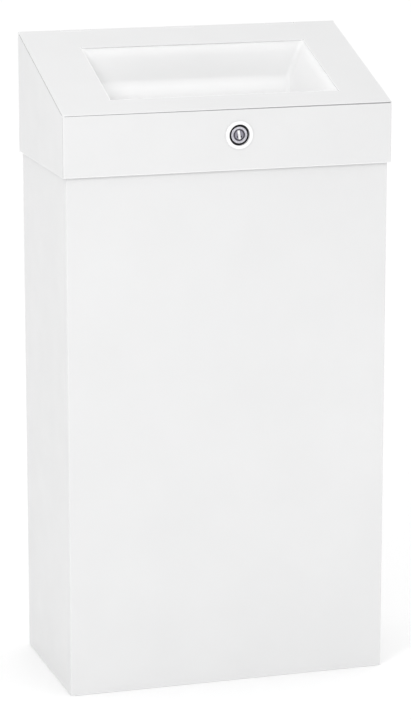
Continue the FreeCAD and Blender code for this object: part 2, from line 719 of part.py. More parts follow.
def make_lock_plug():
    """Plug with a leaning keyway, slots for the wafers and a square for the cam."""
    body = new_body("lock_plug")
    lock_rod(body, "Additive", "-dim.plug_proud", "dim.barrel_rear + dim.plug_proud", "dim.plug_radius")

    def rim(edge):
        return near(edge.BoundBox.YMax, f"{COVER_FRONT} - dim.plug_proud")

    fillet(body, "dim.plug_rim", rim)
    half = "dim.plug_square / 2"
    box(
        body, "Additive",
        (f"dim.lock_x - {half}", f"dim.lock_x + {half}"),
        (f"{CAM_FRONT} - 1", f"{CAM_REAR} - 0.2"),
        (f"dim.lock_z - {half}", f"dim.lock_z + {half}"),
    )
    lock_rod(body, "Subtractive", "dim.barrel_rear - 3", "10", "dim.screw_shank + dim.running_gap")
    lean = "dim.keyway_lean"
    outline = []
    for across, up in ((-1, -1), (1, -1), (1, 1), (-1, 1)):
        x = f"({across} * dim.keyway_width / 2)"
        z = f"({up} * dim.keyway_height / 2)"
        outline.append((
            f"dim.lock_x + {x} * cos({lean}) - {z} * sin({lean})",
            f"dim.lock_z + {x} * sin({lean}) + {z} * cos({lean})",
        ))
    sketch = new_sketch(body, "XZ_Plane", f"-({COVER_FRONT}) + 1")
    extrude(body, "Pocket", polygon(sketch, outline), "dim.keyway_depth + 1")
    slot_x = "(dim.wafer_width / 2 + dim.wafer_slack)"
    slot_z = "(dim.wafer_height / 2 + dim.wafer_slack)"
    for step in range(int(value("dim.wafer_count"))):
        start = wafer_place(step)
        box(
            body, "Subtractive",
            (f"dim.lock_x - {slot_x}", f"dim.lock_x + {slot_x}"),
            (start, f"{start} + dim.wafer_gauge + dim.wafer_slack"),
            (f"dim.lock_z - {slot_z}", f"dim.lock_z + {slot_z}"),
        )


def make_lock_wafers():
    """Spring-brass wafers that lock the plug when the key is out."""
    body = new_body("lock_wafers")
    start = f"{wafer_place(0)} + dim.wafer_slack / 2"

    def plate(kind, width, height, depth):
        return box(
            body, kind,
            (f"dim.lock_x - {width} / 2", f"dim.lock_x + {width} / 2"), depth,
            (f"dim.lock_z - {height} / 2", f"dim.lock_z + {height} / 2"),
        )

    wafer = plate(
        "Additive", "dim.wafer_width", "dim.wafer_height", (start, f"{start} + dim.wafer_gauge"),
    )
    window = plate(
        "Subtractive", "dim.window_width", "dim.window_height", (f"{start} - 1", f"{start} + 2"),
    )
    count = int(value("dim.wafer_count"))
    repeat(body, [wafer, window], "Y", f"{count - 1} * dim.wafer_pitch", count)


def make_lock_cam():
    """Flat tongue that swings down behind the keeper."""
    body = new_body("lock_cam")
    sketch = rounded_rectangle(
        new_sketch(body, "XZ_Plane", f"-({CAM_FRONT})"),
        "dim.lock_x - dim.cam_half_width", "dim.lock_x + dim.cam_reach",
        "dim.lock_z - dim.cam_half_width", "dim.lock_z + dim.cam_half_width", "dim.cam_half_width - 1",
    )
    extrude(body, "Pad", sketch, "dim.cam_height", reverse=True)
    half = "(dim.plug_square / 2 + dim.running_gap)"
    box(
        body, "Subtractive",
        (f"dim.lock_x - {half}", f"dim.lock_x + {half}"),
        (f"{CAM_FRONT} - 1", f"{CAM_REAR} + 1"),
        (f"dim.lock_z - {half}", f"dim.lock_z + {half}"),
    )


def make_cam_fastening():
    washer = new_body("lock_cam_washer")
    place = ("dim.lock_x", CAM_REAR, "dim.lock_z")
    rod(washer, "Additive", "y", place, "dim.washer_height", "dim.cam_washer_radius")
    hole = ("dim.lock_x", f"{CAM_REAR} - 1", "dim.lock_z")
    rod(washer, "Subtractive", "y", hole, "4", "dim.screw_shank + 0.1")
    screw = new_body("lock_cam_screw")
    head = f"{CAM_REAR} + dim.washer_height"
    top = f"{head} + dim.screw_head_height"
    place = ("dim.lock_x", head, "dim.lock_z")
    rod(screw, "Additive", "y", place, "dim.screw_head_height", "dim.screw_head")

    def crown(edge):
        return near(edge.BoundBox.YMin, top)

    fillet(screw, "dim.screw_crown", crown)
    tip = ("dim.lock_x", f"{head} - dim.screw_length", "dim.lock_z")
    rod(screw, "Additive", "y", tip, "dim.screw_length + 0.5", "dim.screw_shank")
    box(
        screw, "Subtractive",
        ("dim.lock_x - dim.screw_head", "dim.lock_x + dim.screw_head"),
        (f"{top} - dim.screw_slot_depth", f"{top} + 1"),
        ("dim.lock_z - dim.screw_slot_width / 2", "dim.lock_z + dim.screw_slot_width / 2"),
    )


# ---------------------------------------------------------------- keeper, stops and bag frame

def make_keeper():
    """Angle under the front rim flange that the cam catches behind."""
    body = new_body("lock_keeper")
    top = "dim.rim_height - dim.gauge"
    x = ("dim.lock_x - dim.keeper_half_width", "dim.lock_x + dim.keeper_half_width")
    rear = f"{INNER_FRONT} + dim.rim_flange + 1.2"
    box(body, "Additive", x, (f"{INNER_FRONT} + 0.5", rear), (f"{top} - dim.keeper_gauge", top))
    box(body, "Additive", x, (f"{rear} - dim.keeper_gauge", rear), (f"{top} - dim.keeper_drop", top))
    for across in keeper_rivet_places():
        rod(
            body, "Subtractive", "z", (across, RIVET_LINE, f"{top} - 5"),
            "10", "dim.rivet_shank + dim.running_gap",
        )


def make_keeper_rivets():
    body = new_body("keeper_rivets")
    grip = "dim.gauge + dim.keeper_gauge"
    for across in keeper_rivet_places():
        rivet(body, "z", (across, RIVET_LINE, f"dim.rim_height - ({grip})"), grip)


def make_lid_stop(name, side):
    """Angle welded inside the fascia; its foot rests on a buffer when the lid is shut."""
    body = new_body(name)
    middle = f"{side} * dim.stop_x"
    x = (f"{middle} - dim.stop_half_width", f"{middle} + dim.stop_half_width")
    face = f"{COVER_FRONT} + dim.gauge"
    foot = "dim.rim_height + dim.buffer_height + dim.stop_gap"
    box(
        body, "Additive", x, (face, f"{face} + dim.stop_gauge"), (foot, f"{foot} + dim.stop_height"),
    )
    box(
        body, "Additive", x, (face, f"{INNER_FRONT} + dim.rim_flange - dim.gauge"),
        (foot, f"{foot} + dim.stop_gauge"),
    )


def make_rim_buffers():
    body = new_body("rim_buffers")
    place = ("-dim.stop_x", RIVET_LINE, "dim.rim_height")
    top_radius = "dim.buffer_radius - dim.buffer_taper"
    pad = rod(
        body, "Additive", "z", place, "dim.buffer_height", "dim.buffer_radius", top_radius,
    )
    repeat(body, [pad], "X", "2 * dim.stop_x", 2)


def make_bag_frame():
    """Loop of wire on the rim that a bag folds over."""
    body = new_body("bag_frame")
    height = "dim.rim_height + dim.wire_radius"
    path = rounded_rectangle(
        new_sketch(body, "XY_Plane", height),
        "-dim.frame_x", "dim.frame_x", "dim.frame_front", "dim.frame_rear", "dim.frame_corner",
    )
    section = new_sketch(body, "XZ_Plane")
    centre = FreeCAD.Vector(value("dim.frame_x"), value(height), 0)
    radius = value("dim.wire_radius")
    section.addGeometry(Part.Circle(centre, FreeCAD.Vector(0, 0, 1), radius))
    bind(section, "radius", Sketcher.Constraint("Radius", 0, radius), "dim.wire_radius")
    bind(section, "across", Sketcher.Constraint("DistanceX", -1, 1, 0, 3, centre.x), "dim.frame_x")
    bind(section, "up", Sketcher.Constraint("DistanceY", -1, 1, 0, 3, centre.y), height)
    doc.recompute()
    pipe = body.newObject("PartDesign::AdditivePipe", "bag_frame_wire")
    pipe.Profile = section
    pipe.Spine = path
    doc.recompute()


def make_frame_clips():
    """Four bridges that hold the wire down on the rim flange."""
    body = new_body("bag_frame_clips")
    inside = "(dim.wire_radius + dim.clip_slack)"
    outside = f"({inside} + dim.gauge)"
    clips = []
    for side in (-1, 1):
        middle = f"{side} * dim.frame_x"
        front = "dim.clip_front - dim.clip_half_length"
        rear = "dim.clip_front + dim.clip_half_length"
        top = "dim.rim_height + 2 * dim.wire_radius + dim.clip_slack"
        clips.append(box(
            body, "Additive",
            (f"{middle} - {outside}", f"{middle} + {outside}"), (front, rear),
            ("dim.rim_height", f"{top} + dim.gauge"),
        ))
        clips.append(box(
            body, "Subtractive",
            (f"{middle} - {inside}", f"{middle} + {inside}"), (f"{front} - 1", f"{rear} + 1"),
            ("dim.rim_height - 1", top),
        ))
    repeat(body, clips, "Y", "dim.clip_pitch", 2)


def check_document():
    for item in doc.Objects:
        if "Invalid" in item.State or "Error" in item.State:
            raise RuntimeError(f"{item.Label} failed: {item.State}")
    for body in sub_parts:
        if body.Shape.isNull() or not body.Shape.isValid() or not body.Shape.Solids:
            raise RuntimeError(f"{body.Label} has no valid solid")


def write_parts():
    os.makedirs("parts", exist_ok=True)
    for body in sub_parts:
        body.Shape.exportStep(f"parts/{body.Label}.step")
        size = body.Shape.BoundBox
        print(f"{body.Label:16} {len(body.Shape.Solids)} solid(s), {body.Shape.Volume:9.0f} mm3, {size}")


make_body_shell()
make_back_panel()
make_base_panel()
make_cover()
make_chute()
make_hinge_leaf()
make_hinge_pin()
make_hinge_rivets()
make_lock_cup()
make_lock_housing()
make_lock_washer()
make_lock_nut()
make_lock_plug()
make_lock_wafers()
make_lock_cam()
make_cam_fastening()
make_keeper()
make_keeper_rivets()
make_lid_stop("lid_stop_left", -1)
make_lid_stop("lid_stop_right", 1)
make_rim_buffers()
make_bag_frame()
make_frame_clips()
doc.recompute()
check_document()
write_parts()
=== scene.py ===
import json
import math

import bmesh
import bpy
from mathutils import Matrix, Vector, geometry


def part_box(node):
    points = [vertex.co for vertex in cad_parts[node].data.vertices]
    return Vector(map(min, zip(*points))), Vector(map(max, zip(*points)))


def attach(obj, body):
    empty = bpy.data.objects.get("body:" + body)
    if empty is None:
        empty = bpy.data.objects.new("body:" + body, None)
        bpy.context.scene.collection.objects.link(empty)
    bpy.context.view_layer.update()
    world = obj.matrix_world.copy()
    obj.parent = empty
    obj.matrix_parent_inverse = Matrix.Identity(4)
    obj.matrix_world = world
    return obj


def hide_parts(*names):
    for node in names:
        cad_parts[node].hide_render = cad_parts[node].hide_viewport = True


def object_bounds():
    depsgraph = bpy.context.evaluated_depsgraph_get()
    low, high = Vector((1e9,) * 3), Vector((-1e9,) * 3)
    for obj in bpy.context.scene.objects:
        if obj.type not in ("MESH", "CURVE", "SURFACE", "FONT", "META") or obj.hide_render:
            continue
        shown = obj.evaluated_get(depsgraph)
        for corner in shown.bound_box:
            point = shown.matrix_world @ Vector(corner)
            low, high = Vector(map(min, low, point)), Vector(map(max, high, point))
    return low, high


# Looks of a lockable bin folded from white powder-coated sheet. Lengths are in metres.

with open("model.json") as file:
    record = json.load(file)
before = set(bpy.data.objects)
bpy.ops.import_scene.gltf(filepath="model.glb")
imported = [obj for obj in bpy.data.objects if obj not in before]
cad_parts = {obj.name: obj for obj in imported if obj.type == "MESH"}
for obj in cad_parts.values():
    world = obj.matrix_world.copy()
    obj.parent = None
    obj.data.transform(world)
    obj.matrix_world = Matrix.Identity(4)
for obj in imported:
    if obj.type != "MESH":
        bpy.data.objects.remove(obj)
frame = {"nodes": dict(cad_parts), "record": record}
CAD_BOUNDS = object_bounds()
LOWEST, HIGHEST = (Vector(corner) for corner in CAD_BOUNDS)
BODY_OF = {
    node: body
    for body, members in frame["record"]["behaviour"]["bodies"].items()
    for node in members
}
JOINTS = {joint["name"]: joint for joint in frame["record"]["behaviour"]["joints"]}

# cover
COVER_LOW, COVER_HIGH = (Vector(corner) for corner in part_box("lid_cover"))
FASCIA_TOP = 0.593
SLOPE = math.radians(19.1)
GAUGE = 0.001
BEND = 0.0015
COVER_ROUND = 0.00022
SEAM_RADIUS = 0.0006
SEAM_SETBACK = BEND * 1.2
SEAM_FRONT_GAP = 0.003
SEAM_REAR_GAP = 0.006

# chute, as distances across, up the slope and below the sloping top
MOUTH = {"left": -0.1145, "right": 0.1225, "front": 0.0285, "rear": 0.145}
MOUTH_STEP = 0.0008
CHUTE_FLANGE = 0.008
FOLD_DEPTH = 0.037
OUTLET_DEPTH = 0.050
SIDE_LEAN = 0.015 / FOLD_DEPTH
END_LEAN = 0.011 / FOLD_DEPTH
DEFLECTOR_LEAN = 0.020 / (OUTLET_DEPTH - FOLD_DEPTH)
FOLD_SOFTNESS = 0.0035
HEM_HEIGHT = 0.003
HEM_WIDTH = 0.0012
CHUTE_CORNER = 0.006
CORNER_STEPS = 8

# lock, with distances behind the fascia's face
LOCK = Vector(JOINTS["lock_turn"]["pos_m"])
CUP_SEAT = 0.0045
BARREL_RADIUS = 0.0078
BARREL_END = 0.021
KEYWAY_LEAN = math.radians(10)
KEYWAY_FLOOR = 0.0006
PIT_PLACES = ((-0.0019, -0.0016), (0.0019, -0.0022))
PIT_RADIUS = 0.00078
THREAD_PITCH = 0.001

# bag frame
WIRE_RADIUS = 0.0025
WIRE_BEND = 0.016
WELD_REACH = 0.0018
WELD_SWELL = 0.00035

# studio: brightness of the sky all round, how it leans along each axis, and the camera
SKY_LEVEL = 1.035
SKY_LEAN = (0.115, 0.045, 0.01)
CAMERA_PLACE = (-0.8895, -2.8870, 1.0140)
CAMERA_TURN = (90 - 12.957, 0.0, -17.168)
CAMERA_LENS = 150.12


# ---------------------------------------------------------------- materials

class Surface:
    """A Principled material and short calls for the nodes that feed it."""

    def __init__(self, name, colour, roughness, metallic=0.0, ior=1.5):
        self.material = bpy.data.materials.new(name)
        self.material.use_nodes = True
        self.tree = self.material.node_tree
        self.shader = self.tree.nodes["Principled BSDF"]
        self.shader.inputs["Base Color"].default_value = (*colour, 1)
        self.shader.inputs["Roughness"].default_value = roughness
        self.shader.inputs["Metallic"].default_value = metallic
        self.shader.inputs["IOR"].default_value = ior
        self.place = self.tree.nodes.new("ShaderNodeTexCoord").outputs["Object"]

    def feed(self, socket, value):
        if hasattr(value, "is_output"):
            self.tree.links.new(value, socket)
        else:
            socket.default_value = value

    def math(self, operation, *values):
        node = self.tree.nodes.new("ShaderNodeMath")
        node.operation = operation
        for socket, value in zip(node.inputs, values):
            self.feed(socket, value)
        return node.outputs[0]

    def stretch(self, value, low, high, to_low, to_high):
        node = self.tree.nodes.new("ShaderNodeMapRange")
        for socket, entry in zip(node.inputs, (value, low, high, to_low, to_high)):
            self.feed(socket, entry)
        return node.outputs[0]

    def noise(self, scale, detail=2.0, place=None, squash=None):
        """Noise of about 1/scale metres across; squash scales the three axes first."""
        node = self.tree.nodes.new("ShaderNodeTexNoise")
        node.inputs["Scale"].default_value = scale
        node.inputs["Detail"].default_value = detail
        place = place or self.place
        if squash:
            mapping = self.tree.nodes.new("ShaderNodeMapping")
            mapping.inputs["Scale"].default_value = squash
            self.feed(mapping.inputs["Vector"], place)
            place = mapping.outputs["Vector"]
        self.feed(node.inputs["Vector"], place)
        return node.outputs["Fac"]

    def edges(self, radius):
        """1 within the radius of a convex or concave edge, 0 on a flat stretch."""
        bevel = self.tree.nodes.new("ShaderNodeBevel")
        bevel.samples = 6
        bevel.inputs["Radius"].default_value = radius
        surface = self.tree.nodes.new("ShaderNodeNewGeometry")
        dot = self.tree.nodes.new("ShaderNodeVectorMath")
        dot.operation = "DOT_PRODUCT"
        self.feed(dot.inputs[0], bevel.outputs["Normal"])
        self.feed(dot.inputs[1], surface.outputs["Normal"])
        return self.stretch(dot.outputs["Value"], 0.99, 0.85, 0.0, 1.0)

    def tint(self, factor, first, second):
        node = self.tree.nodes.new("ShaderNodeMix")
        node.data_type = "RGBA"
        self.feed(node.inputs["Factor"], factor)
        for key, colour in (("A", first), ("B", second)):
            socket = next(s for s in node.inputs if s.name == key and s.type == "RGBA")
            self.feed(socket, colour if hasattr(colour, "is_output") else (*colour, 1))
        return next(s for s in node.outputs if s.type == "RGBA")

    def colour(self, source):
        self.feed(self.shader.inputs["Base Color"], source)

    def roughness(self, source):
        self.feed(self.shader.inputs["Roughness"], source)

    def bump(self, height, depth, below=None):
        node = self.tree.nodes.new("ShaderNodeBump")
        node.inputs["Strength"].default_value = 1.0
        node.inputs["Distance"].default_value = depth
        self.feed(node.inputs["Height"], height)
        if below:
            self.feed(node.inputs["Normal"], below)
        self.feed(self.shader.inputs["Normal"], node.outputs["Normal"])
        return node.outputs["Normal"]


def powder_coat(name, colour, gloss, edge_width=0.0017):
    """Baked powder coat: orange peel, slight clouding, glossier on edges, with a painted highlight
    lightening the colour on edges.
    """
    surface = Surface(name, colour, gloss)
    cloud = surface.noise(11, 3)
    shade = tuple(0.982 * part for part in colour)
    body = surface.tint(surface.stretch(cloud, 0.35, 0.65, 0.0, 1.0), colour, shade)
    edge = surface.edges(edge_width)
    # Painted highlight: the coat's colour is lightened within edge_width of every edge.
    painted_edge_highlight = tuple(min(0.95, 1.3 * part) for part in colour)
    surface.colour(surface.tint(edge, body, painted_edge_highlight))
    smear = surface.noise(34, 4)
    satin = surface.stretch(smear, 0.3, 0.7, gloss - 0.05, gloss + 0.06)
    surface.roughness(surface.math("SUBTRACT", satin, surface.math("MULTIPLY", edge, 0.08)))
    peel = surface.bump(surface.noise(520, 1.5), 0.000022)
    surface.bump(surface.noise(2600, 2), 0.000004, peel)
    return surface.material


def turned_metal(name, colour, roughness):
    """Metal faced on a lathe about the lock's axis: fine rings and a few handling marks."""
    surface = Surface(name, colour, roughness, metallic=1.0)
    centred = surface.tree.nodes.new("ShaderNodeVectorMath")
    centred.operation = "SUBTRACT"
    surface.feed(centred.inputs[0], surface.place)
    centred.inputs[1].default_value = (LOCK.x, 0, LOCK.z)
    flat = surface.tree.nodes.new("ShaderNodeVectorMath")
    flat.operation = "MULTIPLY"
    surface.feed(flat.inputs[0], centred.outputs["Vector"])
    flat.inputs[1].default_value = (1, 0, 1)
    length = surface.tree.nodes.new("ShaderNodeVectorMath")
    length.operation = "LENGTH"
    surface.feed(length.inputs[0], flat.outputs["Vector"])
    combine = surface.tree.nodes.new("ShaderNodeCombineXYZ")
    surface.feed(combine.inputs["X"], length.outputs["Value"])
    rings = surface.noise(7000, 2, combine.outputs["Vector"])
    marks = surface.noise(600, 4)
    dull = tuple(0.86 * part for part in colour)
    surface.colour(surface.tint(surface.stretch(marks, 0.4, 0.62, 0.0, 1.0), colour, dull))
    surface.roughness(surface.stretch(rings, 0.3, 0.7, roughness - 0.07, roughness + 0.09))
    surface.bump(rings, 0.00001)
    return surface.material


def plated_steel(name, colour, roughness, grain):
    """Plated or bare sheet and bar: rolled grain, patches of duller plating, bright edges."""
    surface = Surface(name, colour, roughness, metallic=1.0)
    patches = surface.noise(140, 4)
    dull = tuple(0.72 * part for part in colour)
    body = surface.tint(surface.stretch(patches, 0.38, 0.64, 0.0, 1.0), colour, dull)
    bright = tuple(min(1.0, 1.18 * part) for part in colour)
    surface.colour(surface.tint(surface.edges(0.0003), body, bright))
    lines = surface.noise(900, 2, squash=grain)
    surface.roughness(surface.stretch(patches, 0.3, 0.7, roughness - 0.06, roughness + 0.1))
    surface.bump(lines, 0.000008)
    return surface.material


def moulded(name, colour, roughness):
    """Rubber or plastic: fine moulded texture and a dusty bloom."""
    surface = Surface(name, colour, roughness)
    bloom = surface.noise(260, 4)
    dusty = tuple(0.7 * part + 0.02 for part in colour)
    surface.colour(surface.tint(surface.stretch(bloom, 0.4, 0.7, 0.0, 1.0), colour, dusty))
    surface.roughness(surface.stretch(bloom, 0.3, 0.7, roughness - 0.05, roughness + 0.08))
    surface.bump(surface.noise(3200, 3), 0.00001)
    return surface.material


MATERIALS = {
    "powder_coat": powder_coat("white_powder_coat", (0.722, 0.723, 0.725), 0.36),
    # Painted shade: a dark coat for the faces inside the cover's seam grooves.
    "seam": powder_coat("painted_seam_shade", (0.32, 0.32, 0.325), 0.5),
    "chute_coat": powder_coat("chute_powder_coat", (0.93, 0.931, 0.932), 0.33),
    "lock_trim": powder_coat("lock_trim_white", (0.88, 0.88, 0.885), 0.25),
    "lock_metal": turned_metal("turned_nickel", (0.72, 0.71, 0.76), 0.22),
    "plug_face": turned_metal("turned_plug", (0.30, 0.29, 0.34), 0.26),
    "brass": plated_steel("brass", (0.72, 0.52, 0.24), 0.3, (1, 1, 12)),
    "zinc": plated_steel("zinc_plate", (0.62, 0.63, 0.66), 0.36, (1, 12, 1)),
    "pin_steel": plated_steel("drawn_steel", (0.5, 0.5, 0.5), 0.28, (1, 30, 30)),
    "rivet_metal": plated_steel("rivet_aluminium", (0.76, 0.77, 0.78), 0.34, (1, 1, 1)),
    "rubber": moulded("black_rubber", (0.035, 0.035, 0.037), 0.62),
    # Painted shade: a near-black finish laid on the lock's recess floors and small hollows.
    "recess": moulded("painted_recess_shade", (0.015, 0.015, 0.018), 0.5),
    # Painted glint: the keyway's shutter is a plain bright white non-metal, standing in for the
    # bright reflection of metal.
    "shutter": moulded("shutter_painted_glint", (0.93, 0.93, 0.94), 0.3),
}
SLOT_OF = {
    "lid_cover": "powder_coat", "body_shell": "powder_coat", "back_panel": "powder_coat",
    "base_panel": "powder_coat", "hinge_leaf": "powder_coat", "lid_stop_left": "powder_coat",
    "lid_stop_right": "powder_coat", "chute": "chute_coat", "lock_cup": "lock_trim",
    "lock_housing": "lock_metal", "lock_plug": "lock_metal", "lock_wafers": "brass",
    "hinge_pin": "pin_steel", "hinge_rivets": "rivet_metal", "keeper_rivets": "rivet_metal",
    "rim_buffers": "rubber",
}


# ---------------------------------------------------------------- mesh building

# points nearer than MELT are one point, and faces that bend less than FLAT_ENOUGH are one face
MELT = 2e-6
FLAT_ENOUGH = math.radians(0.4)


def new_piece(node, mesh, materials=None):
    """Piece that stands for a CAD node, rides on its body and takes its finish."""
    slot = SLOT_OF.get(node, "zinc")
    mesh.materials.clear()
    for key in materials or (slot,):
        mesh.materials.append(MATERIALS[key])
    piece = bpy.data.objects.new(f"{node}_piece", mesh)
    bpy.context.scene.collection.objects.link(piece)
    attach(piece, BODY_OF[node])
    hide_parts(node)
    return piece


def shade_smooth(mesh, sharp=32):
    """Smooth shading, except across edges sharper than the angle in degrees."""
    mesh.polygons.foreach_set("use_smooth", [True] * len(mesh.polygons))
    mesh.set_sharp_from_angle(angle=math.radians(sharp))


def finish_mesh(work, name, sharp=32):
    """Smooth-shaded mesh from a bmesh, with its faces turned outwards."""
    bmesh.ops.recalc_face_normals(work, faces=work.faces)
    mesh = bpy.data.meshes.new(name)
    work.to_mesh(mesh)
    work.free()
    shade_smooth(mesh, sharp)
    return mesh


def clean_copy(node):
    """The CAD node's shape as one welded mesh with its flat faces joined up."""
    source = frame["nodes"][node].data
    work = bmesh.new()
    corners = [work.verts.new(vertex.co) for vertex in source.vertices]
    for polygon in source.polygons:
        work.faces.new([corners[index] for index in polygon.vertices])
    bmesh.ops.remove_doubles(work, verts=work.verts, dist=MELT)
    bmesh.ops.dissolve_degenerate(work, edges=work.edges, dist=MELT / 2)
    bmesh.ops.dissolve_limit(
        work, angle_limit=FLAT_ENOUGH, verts=work.verts, edges=work.edges,
    )
    return work


def round_edges(piece, width):
    """Small rounds on the sheared and machined edges."""
    bevel = piece.modifiers.new("edge_round", "BEVEL")
    bevel.width = width
    bevel.segments = 2
    bevel.limit_method = "ANGLE"
    bevel.angle_limit = math.radians(40)
    bevel.use_clamp_overlap = True


def shade_evenly(piece):
    """Keeps the flats flat in shading beside the small rounds."""
    shading = piece.modifiers.new("even_shading", "WEIGHTED_NORMAL")
    shading.keep_sharp = True


def refined(node, width):
    piece = new_piece(node, finish_mesh(clean_copy(node), f"{node}_mesh"))
    round_edges(piece, width)
    shade_evenly(piece)


def softened(corners, closed=False, steps=4):
    """Outline of (a, b, round) corners as (a, b) points, each corner eased over its round."""
    points = []
    count = len(corners)
    for index, (a, b, ease) in enumerate(corners):
        here = Vector((a, b))
        if not ease or (not closed and index in (0, count - 1)):
            points.append(here)
            continue
        before = Vector(corners[index - 1][:2]) - here
        after = Vector(corners[(index + 1) % count][:2]) - here
        start = here + before.normalized() * min(ease, before.length * 0.49)
        end = here + after.normalized() * min(ease, after.length * 0.49)
        for step in range(steps + 1):
            t = step / steps
            points.append((1 - t) ** 2 * start + 2 * t * (1 - t) * here + t ** 2 * end)
    return points


def join_rings(work, rings, closed):
    pairs = list(zip(rings, rings[1:]))
    if closed:
        pairs.append((rings[-1], rings[0]))
    for lower, upper in pairs:
        count = max(len(lower), len(upper))
        for index in range(count):
            following = (index + 1) % count
            if len(lower) == 1:
                work.faces.new((lower[0], upper[following], upper[index]))
            elif len(upper) == 1:
                work.faces.new((lower[index], lower[following], upper[0]))
            else:
                work.faces.new((lower[index], lower[following], upper[following], upper[index]))


AXES = {
    "x": (Vector((1, 0, 0)), Vector((0, 1, 0)), Vector((0, 0, 1))),
    "y": (Vector((0, 1, 0)), Vector((1, 0, 0)), Vector((0, 0, 1))),
    "z": (Vector((0, 0, 1)), Vector((1, 0, 0)), Vector((0, 1, 0))),
}


def turn(work, profile, centre, axis="y", steps=72):
    """Turned solid about an axis; the profile holds (along, radius) points from centre."""
    along_axis, across, up = AXES[axis]
    rings = []
    for along, radius in profile:
        middle = centre + along_axis * along
        if radius < 1e-7:
            rings.append([work.verts.new(middle)])
            continue
        ring = []
        for step in range(steps):
            angle = math.tau * step / steps
            ring.append(work.verts.new(
                middle + (across * math.cos(angle) + up * math.sin(angle)) * radius
            ))
        rings.append(ring)
    join_rings(work, rings, closed=len(rings[0]) > 1)


def turned_mesh(name, profile, centre, axis="y", steps=72):
    work = bmesh.new()
    turn(work, profile, centre, axis, steps)
    return finish_mesh(work, name)


def block_mesh(name, low, high, turn_about_y=0.0):
    """Block between two corners, turned about the Y axis through its middle."""
    work = bmesh.new()
    bmesh.ops.create_cube(work, size=1)
    low, high = Vector(low), Vector(high)
    middle = (low + high) / 2
    place = Matrix.Translation(middle) @ Matrix.Rotation(turn_about_y, 4, "Y")
    place @= Matrix.Diagonal((*(high - low), 1))
    bmesh.ops.transform(work, matrix=place, verts=work.verts)
    return finish_mesh(work, name)


def carve(mesh, tools, operation="DIFFERENCE", rounding=None):
    """Mesh with its edges rounded if asked, then each tool cut out, added or kept in common."""
    piece = bpy.data.objects.new("carving", mesh)
    bpy.context.scene.collection.objects.link(piece)
    if rounding:
        round_edges(piece, rounding)
    helpers = []
    for tool in tools:
        helper = bpy.data.objects.new("tool", tool)
        bpy.context.scene.collection.objects.link(helper)
        helpers.append(helper)
        step = piece.modifiers.new("cut", "BOOLEAN")
        step.operation = operation
        step.solver = "EXACT"
        step.object = helper
    bpy.context.view_layer.update()
    depsgraph = bpy.context.evaluated_depsgraph_get()
    result = bpy.data.meshes.new_from_object(piece.evaluated_get(depsgraph))
    for helper in (piece, *helpers):
        bpy.data.objects.remove(helper)
    work = bmesh.new()
    work.from_mesh(result)
    bmesh.ops.remove_doubles(work, verts=work.verts, dist=MELT)
    bmesh.ops.dissolve_degenerate(work, edges=work.edges, dist=MELT)
    work.to_mesh(result)
    work.free()
    shade_smooth(result)
    return result


def on_slope(across, along, below):
    """Point in the bin's axes from distances across, up the slope and below the sloping top."""
    y = COVER_LOW.y + along * math.cos(SLOPE) + below * math.sin(SLOPE)
    z = FASCIA_TOP + along * math.sin(SLOPE) - below * math.cos(SLOPE)
    return Vector((across, y, z))


# ---------------------------------------------------------------- cover and chute

def groove_tool(name, start, end, radius, end_radius):
    """Thin round bar between two points, which cuts a seam."""
    work = bmesh.new()
    run = end - start
    place = Matrix.Translation((start + end) / 2)
    place @= run.to_track_quat("Z", "Y").to_matrix().to_4x4()
    bmesh.ops.create_cone(
        work, cap_ends=True, segments=10, radius1=radius, radius2=end_radius,
        depth=run.length, matrix=place,
    )
    return finish_mesh(work, name)


def build_cover():
    """Folded cover with hairline seams where the top, fascia and cheeks meet, their grooves
    coloured dark as painted shade.
    """
    front = COVER_LOW.y
    side = COVER_HIGH.x
    seam_z = FASCIA_TOP - BEND * 0.9
    length = (HIGHEST.y - front) / math.cos(SLOPE) - SEAM_REAR_GAP
    seams = [(
        Vector((BEND - side, front, seam_z)), Vector((side - BEND, front, seam_z)),
        SEAM_RADIUS * 0.5, SEAM_RADIUS * 1.1,
    )]
    for across in (-side, side):
        foot = Vector((across, front + SEAM_SETBACK, COVER_LOW.z - GAUGE))
        head = Vector((across, front + SEAM_SETBACK, seam_z - BEND))
        seams.append((foot, head, SEAM_RADIUS * 0.6, SEAM_RADIUS * 0.6))
        seams.append((
            on_slope(across, SEAM_FRONT_GAP, SEAM_SETBACK), on_slope(across, length, SEAM_SETBACK),
            SEAM_RADIUS * 0.8, SEAM_RADIUS * 0.8,
        ))
    tools = [groove_tool("seam", *seam) for seam in seams]
    mesh = carve(finish_mesh(clean_copy("lid_cover"), "cover_sheet"), tools, rounding=COVER_ROUND)
    piece = new_piece("lid_cover", mesh, ("powder_coat", "seam"))
    # Faces inside the seam grooves take material 1, the dark coat that paints shade into them.
    for polygon in piece.data.polygons:
        for start, end, radius, end_radius in seams:
            nearest, share = geometry.intersect_point_line(polygon.center, start, end)
            reach = radius + (end_radius - radius) * share
            if -0.01 < share < 1.01 and (polygon.center - nearest).length < reach * 1.001:
                polygon.material_index = 1
    shade_evenly(piece)


def eased_lean(depth, steepness_above, steepness_below):
    """Lean of a chute wall at a depth, eased over the fold round the chute."""
    past = depth - FOLD_DEPTH
    lean = steepness_above * depth
    if past >= FOLD_SOFTNESS:
        return lean + (steepness_below - steepness_above) * past
    if past > -FOLD_SOFTNESS:
        share = (past + FOLD_SOFTNESS) ** 2 / (4 * FOLD_SOFTNESS)
        return lean + (steepness_below - steepness_above) * share
    return lean


